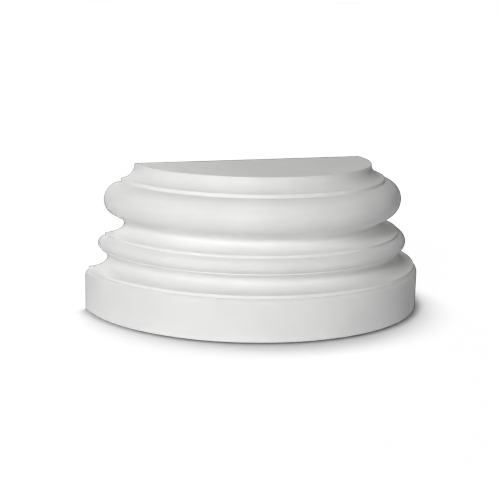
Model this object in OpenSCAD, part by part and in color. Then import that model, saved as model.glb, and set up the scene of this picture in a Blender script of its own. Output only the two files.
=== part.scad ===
// Half column base, moulded in one piece, made to stand against a wall under a half-round shaft.
// Millimetres. The column's axis is Z, the wall lies in the plane y = 0, the rounded front faces -Y,
// and the underside is at z = 0. Every member is set out from the shaft's face and stacked from the floor.

/* [Shaft] */

// diameter of the half-round shaft that stands on the top bed
shaft_d = 284; // [200:1:500]

/* [Plinth] */

// how far the plinth stands out beyond the shaft's face
plinth_out = 58; // [40:0.5:90]
// height of the plinth band, with its rounded upper edge
plinth_h = 46.5; // [25:0.5:90]
// radius of the plinth's rounded upper edge
plinth_edge_r = 6; // [1:0.5:12]

/* [Foot fillet] */

// how far the foot fillet stands back from the plinth's face
foot_fillet_set_back = 4; // [1:0.5:10]
// height of the foot fillet
foot_fillet_h = 3; // [1:0.25:8]

/* [Lower hollow] */

// height from the foot fillet to the underside of the lower torus
lower_hollow_h = 18.5; // [12:0.5:40]
// depth of the lower hollow behind the foot fillet's face
lower_hollow_depth = 22; // [8:0.5:40]
// height of the lower hollow's throat above the foot fillet
lower_throat_rise = 10.5; // [5:0.25:20]

/* [Lower torus] */

// height of the lower torus
lower_torus_h = 17; // [8:0.5:40]
// how far the quirk under the lower torus stands out beyond the torus's centre
lower_quirk_out = 4; // [0:0.25:8]

/* [Middle fillet] */

// how far the middle fillet stands out beyond the shaft's face
mid_fillet_out = 34.5; // [20:0.5:60]
// height of the middle fillet
mid_fillet_h = 3; // [1:0.25:8]

/* [Upper hollow] */

// height from the middle fillet to the underside of the upper torus
upper_hollow_h = 18; // [12:0.5:40]
// depth of the upper hollow behind the middle fillet's face
upper_hollow_depth = 22; // [8:0.5:40]
// height of the upper hollow's throat above the middle fillet
upper_throat_rise = 10; // [5:0.25:20]

/* [Upper torus] */

// height of the upper torus
upper_torus_h = 40; // [20:0.5:80]
// how far the quirk under the upper torus stands out beyond the torus's centre
upper_quirk_out = 5; // [0:0.25:12]

/* [Neck] */

// height of the neck fillet
neck_fillet_h = 4; // [1:0.25:10]
// radius of the quarter-round hollow that sweeps up to the top bed
neck_hollow_r = 16; // [6:0.5:40]

/* [Hidden] */

$fa = 2;
$fs = 0.5;

// faces of the members, as radii from the column's axis
shaft_r = shaft_d / 2;
plinth_r = shaft_r + plinth_out;
foot_fillet_r = plinth_r - foot_fillet_set_back;
mid_fillet_r = shaft_r + mid_fillet_out;
neck_fillet_r = shaft_r + neck_hollow_r;

// each torus is centred on the face of the fillet above it
lower_torus_r = lower_torus_h / 2;
upper_torus_r = upper_torus_h / 2;
lower_quirk_r = mid_fillet_r + lower_quirk_out;
upper_quirk_r = neck_fillet_r + upper_quirk_out;

// levels, stacked from the floor
foot_fillet_z = plinth_h;
lower_hollow_z = foot_fillet_z + foot_fillet_h;
lower_torus_z = lower_hollow_z + lower_hollow_h;
mid_fillet_z = lower_torus_z + lower_torus_h;
upper_hollow_z = mid_fillet_z + mid_fillet_h;
upper_torus_z = upper_hollow_z + upper_hollow_h;
neck_fillet_z = upper_torus_z + upper_torus_h;
neck_hollow_z = neck_fillet_z + neck_fillet_h;
base_h = neck_hollow_z + neck_hollow_r;

// a plain band out to a face, between two levels
module band(face_r, low_z, high_z) {
  translate([0, low_z]) square([face_r, high_z - low_z]);
}

module plinth_profile() {
  band(plinth_r, 0, plinth_h - plinth_edge_r);
  band(plinth_r - plinth_edge_r, 0, plinth_h);
  translate([plinth_r - plinth_edge_r, plinth_h - plinth_edge_r]) circle(r = plinth_edge_r);
}

// the neck between a fillet's lip and the torus above: the quirk's face, scooped by an elliptical hollow
// that runs out level at the lip
module hollow_profile(lip_r, quirk_r, low_z, torus_z, torus_r, depth, rise) {
  difference() {
    union() {
      band(quirk_r, low_z, torus_z + torus_r);
      band(lip_r, low_z, low_z + rise);
    }
    translate([lip_r, low_z + rise]) scale([depth, rise]) circle(r = 1);
  }
}

module torus_profile(centre_r, low_z, torus_r) {
  band(centre_r, low_z, low_z + 2 * torus_r);
  translate([centre_r, low_z + torus_r]) circle(r = torus_r);
}

module neck_profile() {
  difference() {
    band(neck_fillet_r, neck_hollow_z, base_h);
    translate([neck_fillet_r, base_h]) circle(r = neck_hollow_r);
  }
}

module base_profile() {
  plinth_profile();
  band(foot_fillet_r, foot_fillet_z, lower_hollow_z);
  hollow_profile(foot_fillet_r, lower_quirk_r, lower_hollow_z, lower_torus_z, lower_torus_r,
                 lower_hollow_depth, lower_throat_rise);
  torus_profile(mid_fillet_r, lower_torus_z, lower_torus_r);
  band(mid_fillet_r, mid_fillet_z, upper_hollow_z);
  hollow_profile(mid_fillet_r, upper_quirk_r, upper_hollow_z, upper_torus_z, upper_torus_r,
                 upper_hollow_depth, upper_throat_rise);
  torus_profile(neck_fillet_r, upper_torus_z, upper_torus_r);
  band(neck_fillet_r, neck_fillet_z, neck_hollow_z);
  neck_profile();
}

module half_column_base() {
  color("white")
    rotate([0, 0, 180])
      rotate_extrude(angle = 180)
        base_profile();
}

half_column_base();
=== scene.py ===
import math

import bmesh
import bpy
from mathutils import Matrix, Vector


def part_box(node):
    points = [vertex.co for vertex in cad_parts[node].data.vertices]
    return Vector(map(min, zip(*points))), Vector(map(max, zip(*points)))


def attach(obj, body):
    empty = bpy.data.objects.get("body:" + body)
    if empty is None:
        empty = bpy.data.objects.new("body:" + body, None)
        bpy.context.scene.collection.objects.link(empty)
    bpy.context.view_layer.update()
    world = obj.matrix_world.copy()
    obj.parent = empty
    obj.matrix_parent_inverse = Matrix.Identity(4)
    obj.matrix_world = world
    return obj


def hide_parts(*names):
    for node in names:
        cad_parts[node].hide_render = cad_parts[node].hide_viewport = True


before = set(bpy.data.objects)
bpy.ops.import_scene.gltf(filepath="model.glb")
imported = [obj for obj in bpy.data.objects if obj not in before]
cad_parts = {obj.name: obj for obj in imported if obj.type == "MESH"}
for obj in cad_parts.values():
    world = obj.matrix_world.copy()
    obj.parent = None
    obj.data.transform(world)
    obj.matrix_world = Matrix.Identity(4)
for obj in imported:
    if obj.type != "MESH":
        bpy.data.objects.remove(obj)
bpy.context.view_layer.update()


# ------------------------------------------------------------------------------------------------
# The moulding: the whole half column base, cast in one piece of rigid polyurethane foam in a closed
# mould and glued with its flat back to the wall. Its outline is drawn once at the wall plane, from
# the floor up, and swung half round the column's axis, then the bed, underside and back are closed.

base_low, base_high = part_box("half_column_base")
plinth_r = base_high.x
base_h = base_high.z

plinth_edge_r = 0.006       # rounded upper edge of the plinth band
plinth_edge_z = 0.0405      # level of that edge's centre
foot_fillet_r = 0.196
foot_fillet_z = 0.0495      # top of the foot fillet, the lip of the lower hollow
lower_throat_z = 0.060      # level of the lower hollow's throat
lower_quirk_r = 0.1805      # little upright face under the lower torus
lower_torus_z = 0.0765
lower_torus_r = 0.0085
mid_fillet_r = 0.1765
mid_fillet_z = 0.088
upper_throat_z = 0.098
upper_quirk_r = 0.163
upper_torus_z = 0.126
upper_torus_r = 0.020
neck_fillet_r = 0.158
neck_fillet_z = 0.150
hollow_depth = 0.022        # both hollows run in this far behind their lips
outer_arris_r = 0.0007      # the mould leaves its outer corners this soft,
inner_arris_r = 0.0003      # and its inner corners this soft
cut_arris_r = 0.0004        # the edges of the bed, the underside and the back
crease_shade_reach = 0.0016       # how far out of a crease the painted shade reaches
corner_steps = 3            # facets round each softened corner
swing_steps = 224           # facets round the half circle
touching = 1e-5             # points nearer than this are the same point
smooth_below = math.radians(35)
facing = 0.999              # how far along an axis the normal of a cut face points

bpy.ops.object.select_all(action="DESELECT")
bpy.ops.mesh.primitive_plane_add(size=0.01, location=(0, 0, 0))
moulding = bpy.context.object
moulding.name = "column_base_moulding"
bpy.ops.object.mode_set(mode="EDIT")
bpy.ops.mesh.merge(type="CENTER")
bpy.ops.transform.translate(value=(plinth_r, 0, 0))
pen = Vector((plinth_r, 0, 0))


def draw_to(r, z):
    """Draws the outline on to a point at radius r and height z."""
    stop = Vector((r, 0, z))
    bpy.ops.mesh.extrude_region_move(TRANSFORM_OT_translate={"value": stop - pen})
    pen[:] = stop


def draw_round(centre_r, centre_z, reach_r, reach_z, start, stop, steps):
    """Draws the outline on round an oval's centre, from one angle to another."""
    for step in range(1, steps + 1):
        turn = start + (stop - start) * step / steps
        draw_to(centre_r + reach_r * math.cos(turn), centre_z + reach_z * math.sin(turn))


def draw_hollow(lip_r, throat_z, lip_z, quirk_r, steps):
    """Draws an oval hollow from its lip, in to the throat and out again to the quirk's face."""
    rise = throat_z - lip_z
    draw_round(lip_r, throat_z, hollow_depth, rise, 1.5 * math.pi,
               math.pi - math.acos((lip_r - quirk_r) / hollow_depth), steps)


def draw_torus(centre_r, centre_z, radius, quirk_r, steps):
    """Draws a quirk's face up to the torus above it, and the torus round to its top."""
    start = -math.acos((quirk_r - centre_r) / radius)
    draw_to(quirk_r, centre_z + radius * math.sin(start))
    draw_round(centre_r, centre_z, radius, radius, start, 0.5 * math.pi, steps)


def draw_fillet(r, z):
    """Draws a fillet's upright face from the crease at its foot to its lip."""
    outline_corners["inner"].append(pen.copy())
    upright_faces.append((r, pen.z, z))
    draw_to(r, z)
    outline_corners["outer"].append(pen.copy())


outline_corners = {"inner": [], "outer": []}
upright_faces = []          # radius, foot and top of each small upright face
edge_stop = math.acos((foot_fillet_r - plinth_r + plinth_edge_r) / plinth_edge_r)
draw_to(plinth_r, plinth_edge_z)
draw_round(plinth_r - plinth_edge_r, plinth_edge_z, plinth_edge_r, plinth_edge_r, 0, edge_stop, 7)
draw_fillet(foot_fillet_r, foot_fillet_z)
draw_hollow(foot_fillet_r, lower_throat_z, foot_fillet_z, lower_quirk_r, 26)
outline_corners["outer"].append(pen.copy())
lower_quirk_top = lower_torus_z - math.sqrt(lower_torus_r ** 2 - (lower_quirk_r - mid_fillet_r) ** 2)
outline_corners["inner"].append(Vector((lower_quirk_r, 0, lower_quirk_top)))
upright_faces.append((lower_quirk_r, pen.z, lower_quirk_top))
draw_torus(mid_fillet_r, lower_torus_z, lower_torus_r, lower_quirk_r, 16)
draw_fillet(mid_fillet_r, mid_fillet_z)
draw_hollow(mid_fillet_r, upper_throat_z, mid_fillet_z, upper_quirk_r, 26)
outline_corners["outer"].append(pen.copy())
draw_torus(neck_fillet_r, upper_torus_z, upper_torus_r, upper_quirk_r, 28)
draw_fillet(neck_fillet_r, neck_fillet_z)
draw_round(neck_fillet_r, base_h, base_h - neck_fillet_z, base_h - neck_fillet_z,
           1.5 * math.pi, math.pi, 14)


def select_where(wanted, kind="verts"):
    """In edit mode, selects the points, edges or faces for which wanted() is true, and nothing else."""
    bpy.ops.mesh.select_all(action="DESELECT")
    edit = bmesh.from_edit_mesh(moulding.data)
    for part in getattr(edit, kind):
        if wanted(part):
            part.select_set(True)
    edit.select_flush_mode()
    bmesh.update_edit_mesh(moulding.data)


for kind, radius in (("outer", outer_arris_r), ("inner", inner_arris_r)):
    corners = outline_corners[kind]
    select_where(lambda v: any((v.co - corner).length < touching for corner in corners))
    bpy.ops.mesh.bevel(affect="VERTICES", offset=radius, segments=corner_steps, clamp_overlap=False)

bpy.ops.mesh.select_all(action="SELECT")
bpy.ops.mesh.spin(steps=swing_steps, angle=math.pi, center=(0, 0, 0), axis=(0, 0, 1))
bpy.ops.mesh.select_all(action="SELECT")
bpy.ops.mesh.remove_doubles(threshold=touching)

# The bed and the underside close on their rims, and the back on what is then still open.
for level in (0, base_h):
    select_where(lambda v: abs(v.co.z - level) < touching)
    bpy.ops.mesh.edge_face_add()
bpy.ops.mesh.select_mode(type="EDGE")
select_where(lambda e: e.is_boundary, "edges")
bpy.ops.mesh.edge_face_add()
bpy.ops.mesh.select_all(action="SELECT")
bpy.ops.mesh.normals_make_consistent(inside=False)

# Only the three cut faces have more than four corners, so their rims are the edges to soften.
select_where(lambda e: len(e.link_faces) == 2 and any(len(f.verts) > 4 for f in e.link_faces), "edges")
bpy.ops.mesh.bevel(affect="EDGES", offset=cut_arris_r, segments=corner_steps, clamp_overlap=True)
bpy.ops.object.mode_set(mode="OBJECT")

bpy.ops.object.shade_smooth_by_angle(angle=smooth_below)
bpy.ops.object.modifier_add(type="WEIGHTED_NORMAL")
moulding.modifiers[-1].keep_sharp = True
bpy.ops.object.modifier_apply(modifier=moulding.modifiers[-1].name)


def painted_shade_and_light_at(r, z):
    """How much painted light or shade a point of the outline gets: 0 for painted shade in a crease, 0.5
    plain, 1 for painted light on an upright face.
    """
    if any(abs(r - face_r) < outer_arris_r and foot < z + touching and z < top + touching
           for face_r, foot, top in upright_faces):
        return 1
    crease = min((Vector((r, 0, z)) - corner).length for corner in outline_corners["inner"])
    return 0.5 * min(1, crease / crease_shade_reach)


# Painted shade in the creases and painted light on the small upright faces, stored on each point.
painted_shade_and_light = moulding.data.attributes.new("painted_shade_and_light", "FLOAT", "POINT")
for vertex in moulding.data.vertices:
    painted_shade_and_light.data[vertex.index].value = painted_shade_and_light_at(math.hypot(vertex.co.x, vertex.co.y), vertex.co.z)


def linear(hex_colour):
    """An sRGB hex colour as the linear values that a shader takes."""
    parts = [int(hex_colour[i:i + 2], 16) / 255 for i in (1, 3, 5)]
    return [c / 12.92 if c <= 0.04045 else ((c + 0.055) / 1.055) ** 2.4 for c in parts] + [1]


def add_node(tree, kind, links=(), **settings):
    """Adds a node, with its settings and inputs by name, and the links into it."""
    node = tree.nodes.new(kind)
    for name, value in settings.items():
        if name in node.inputs:
            node.inputs[name].default_value = value
        else:
            setattr(node, name, value)
    for socket, source in links:
        tree.links.new(source, node.inputs[socket])
    return node


first_colour, second_colour, mixed_colour = 6, 7, 2     # the colour sockets of a mix node

# Polyurethane foam moulded against a smooth mould, then sprayed with a matt white primer: the eye
# gets an even, chalky white with no gloss, a faint cloudiness where passes of the spray overlap, and
# a very fine orange peel. The small upright faces are painted a touch whiter as painted light, and
# the creases a little duller as painted shade.
primer = bpy.data.materials.new("polyurethane_moulded_white_primed")
primer.use_nodes = True
tree = primer.node_tree
coords = add_node(tree, "ShaderNodeTexCoord").outputs["Object"]
painted_shade_and_light_fac = add_node(tree, "ShaderNodeAttribute", attribute_name="painted_shade_and_light").outputs["Fac"]
# The ramp paints shade into the creases (#E2E2E0) and light on the upright faces (#FDFDFC), with the
# plain primer (#F3F3F2) between.
painted_shade_and_light_tone = add_node(tree, "ShaderNodeValToRGB", [("Fac", painted_shade_and_light_fac)])
painted_shade_and_light_tone.color_ramp.elements[0].color = linear("#E2E2E0")
painted_shade_and_light_tone.color_ramp.elements[1].color = linear("#FDFDFC")
painted_shade_and_light_tone.color_ramp.elements.new(0.5).color = linear("#F3F3F2")
spray_pass = 0.06           # one pass of the spray fan is about 60 mm wide
clouds = add_node(tree, "ShaderNodeTexNoise", [("Vector", coords)], Scale=1 / spray_pass, Detail=2)
cloud_tone = add_node(tree, "ShaderNodeValToRGB", [("Fac", clouds.outputs["Fac"])])
cloud_tone.color_ramp.elements[0].position = 0.35
cloud_tone.color_ramp.elements[1].position = 0.65
cloud_tone.color_ramp.elements[0].color = linear("#FBFBFB")
cloud_tone.color_ramp.elements[1].color = linear("#FFFFFF")
tone = add_node(tree, "ShaderNodeMix", data_type="RGBA", blend_type="MULTIPLY")
tone.inputs["Factor"].default_value = 1
tree.links.new(painted_shade_and_light_tone.outputs["Color"], tone.inputs[first_colour])
tree.links.new(cloud_tone.outputs["Color"], tone.inputs[second_colour])
peel_size = 0.0035          # real droplets are 1 mm, too fine to show, so they are drawn at 3.5 mm
peel = add_node(tree, "ShaderNodeTexNoise", [("Vector", coords)], Scale=1 / peel_size, Detail=3)
peel_bump = add_node(tree, "ShaderNodeBump", [("Height", peel.outputs["Fac"])],
                     Strength=0.3, Distance=0.00012)
dullness = add_node(tree, "ShaderNodeMapRange", [("Value", peel.outputs["Fac"])])
dullness.inputs["From Min"].default_value = 0.3
dullness.inputs["From Max"].default_value = 0.7
dullness.inputs["To Min"].default_value = 0.54
dullness.inputs["To Max"].default_value = 0.66
shader = tree.nodes["Principled BSDF"]
shader.inputs["IOR"].default_value = 1.46
tree.links.new(tone.outputs[mixed_colour], shader.inputs["Base Color"])
tree.links.new(dullness.outputs["Result"], shader.inputs["Roughness"])
tree.links.new(peel_bump.outputs["Normal"], shader.inputs["Normal"])

# The back and the underside are rigid polyurethane foam cut flat on a band saw and sanded for the
# glue: bare and a little creamier than the primer, with no sheen, small open cells, and faint lines
# along the cut.
foam = bpy.data.materials.new("polyurethane_foam_sawn_sanded")
foam.use_nodes = True
tree = foam.node_tree
coords = add_node(tree, "ShaderNodeTexCoord").outputs["Object"]
cell_size = 0.003           # real cells are under 0.5 mm, too fine to show, so they are drawn at 3 mm
cells = add_node(tree, "ShaderNodeTexVoronoi", [("Vector", coords)], Scale=1 / cell_size)
cell_tone = add_node(tree, "ShaderNodeValToRGB", [("Fac", cells.outputs["Distance"])])
cell_tone.color_ramp.elements[0].position = 0.08
cell_tone.color_ramp.elements[1].position = 0.3
cell_tone.color_ramp.elements[0].color = linear("#DDD9CF")
cell_tone.color_ramp.elements[1].color = linear("#ECE9E2")
saw_step = 0.006            # a saw line about every 6 mm
stretch = add_node(tree, "ShaderNodeMapping", [("Vector", coords)], Scale=(0.06, 0.06, 1))
saw_lines = add_node(tree, "ShaderNodeTexNoise", [("Vector", stretch.outputs["Vector"])],
                     Scale=1 / saw_step, Detail=2)
saw_tone = add_node(tree, "ShaderNodeValToRGB", [("Fac", saw_lines.outputs["Fac"])])
saw_tone.color_ramp.elements[0].position = 0.3
saw_tone.color_ramp.elements[1].position = 0.7
saw_tone.color_ramp.elements[0].color = linear("#FAFAFA")
saw_tone.color_ramp.elements[1].color = linear("#FFFFFF")
tone = add_node(tree, "ShaderNodeMix", data_type="RGBA", blend_type="MULTIPLY")
tone.inputs["Factor"].default_value = 1
tree.links.new(cell_tone.outputs["Color"], tone.inputs[first_colour])
tree.links.new(saw_tone.outputs["Color"], tone.inputs[second_colour])
saw_bump = add_node(tree, "ShaderNodeBump", [("Height", saw_lines.outputs["Fac"])],
                    Strength=0.2, Distance=0.0002)
cell_bump = add_node(tree, "ShaderNodeBump", [("Height", cells.outputs["Distance"]),
                                              ("Normal", saw_bump.outputs["Normal"])],
                     Strength=0.3, Distance=0.0004)
shader = tree.nodes["Principled BSDF"]
shader.inputs["Roughness"].default_value = 0.9
shader.inputs["IOR"].default_value = 1.5
tree.links.new(tone.outputs[mixed_colour], shader.inputs["Base Color"])
tree.links.new(cell_bump.outputs["Normal"], shader.inputs["Normal"])

moulding.data.materials.append(primer)
moulding.data.materials.append(foam)
for face in moulding.data.polygons:
    if face.normal.y > facing or face.normal.z < -facing:
        face.material_index = 1

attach(moulding, "root")
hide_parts("half_column_base")


# ------------------------------------------------------------------------------------------------
# The stage: a plain pale floor on a white surround. A soft key low on the left in front models the
# members, a fill that casts no shadow keeps their upper sides open, weaker lamps reach the left side
# and the back, and the floor shows nothing but the soft shadow that falls on it.

floor_size = 200            # metres, so that its far edge lies at the horizon
lamp_distance = 2.6
lamp_aim = Vector((0, -0.08, 0.08))     # about the middle of the moulding
surround_seen = 1.0         # the camera sees the surround white,
surround_light = 0.02       # while next to no light comes from it
camera_place = Vector((-0.52736, -1.29979, 0.35138))
camera_lens = 86.04

bpy.ops.object.select_all(action="DESELECT")
bpy.ops.mesh.primitive_plane_add(size=floor_size, location=(0, 0, 0))
floor = bpy.context.object
floor.name = "floor"
paint = bpy.data.materials.new("floor_paint")
paint.use_nodes = True
paint.node_tree.nodes["Principled BSDF"].inputs["Base Color"].default_value = linear("#F4F4F4")
paint.node_tree.nodes["Principled BSDF"].inputs["Roughness"].default_value = 0.9
floor.data.materials.append(paint)
floor.is_shadow_catcher = True


def add_lamp(name, azimuth, elevation, size, power, casts_shadow=True):
    """A square soft light that faces the moulding from an azimuth and elevation in degrees."""
    turn, lift = math.radians(azimuth), math.radians(elevation)
    back = Vector((math.sin(turn) * math.cos(lift), -math.cos(turn) * math.cos(lift), math.sin(lift)))
    lamp = bpy.data.objects.new(name, bpy.data.lights.new(name, "AREA"))
    lamp.location = lamp_aim + back * lamp_distance
    lamp.rotation_euler = (-back).to_track_quat("-Z", "Y").to_euler()
    lamp.data.size = size
    lamp.data.energy = power
    lamp.data.use_shadow = casts_shadow
    bpy.context.collection.objects.link(lamp)
    return lamp


add_lamp("key", -41, 25, 1.0, 37.9)
add_lamp("top_fill", -10, 58, 1.2, 10.7, casts_shadow=False)
add_lamp("left_fill", -130, 30, 1.2, 6)
add_lamp("high_back_fill", 180, 72, 1.2, 8)
add_lamp("low_back_fill", 180, 12, 1.2, 22)

# A lamp high up behind lights the floor alone, for a close shadow at the foot. Neither its bounces
# nor stray hits on it count, so that it adds nothing to the moulding.
floor_only = bpy.data.collections.new("floor_only")
floor_only.objects.link(floor)
floor_light = add_lamp("floor_light", 180, 76, 1.4, 1200)
floor_light.light_linking.receiver_collection = floor_only
floor_light.data.cycles.max_bounces = 0
floor_light.data.cycles.use_multiple_importance_sampling = False

surround = bpy.data.worlds.new("surround")
surround.use_nodes = True
tree = surround.node_tree
sight = add_node(tree, "ShaderNodeLightPath")
strength = add_node(tree, "ShaderNodeMath", [(0, sight.outputs["Is Camera Ray"])],
                    operation="MULTIPLY_ADD")
strength.inputs[1].default_value = surround_seen - surround_light
strength.inputs[2].default_value = surround_light
tree.nodes["Background"].inputs["Color"].default_value = (1, 1, 1, 1)
tree.links.new(strength.outputs["Value"], tree.nodes["Background"].inputs["Strength"])
bpy.context.scene.world = surround
bpy.context.scene.view_settings.view_transform = "Standard"

view_azimuth, view_elevation, view_roll = (math.radians(a) for a in (-22.15, 11.85, 1.26))
camera = bpy.data.objects.new("camera", bpy.data.cameras.new("camera"))
camera.data.lens = camera_lens
camera.matrix_world = (Matrix.Translation(camera_place)
                       @ Matrix.Rotation(view_azimuth, 4, "Z")
                       @ Matrix.Rotation(math.pi / 2 - view_elevation, 4, "X")
                       @ Matrix.Rotation(view_roll, 4, "Z"))
bpy.context.collection.objects.link(camera)
bpy.context.scene.camera = camera
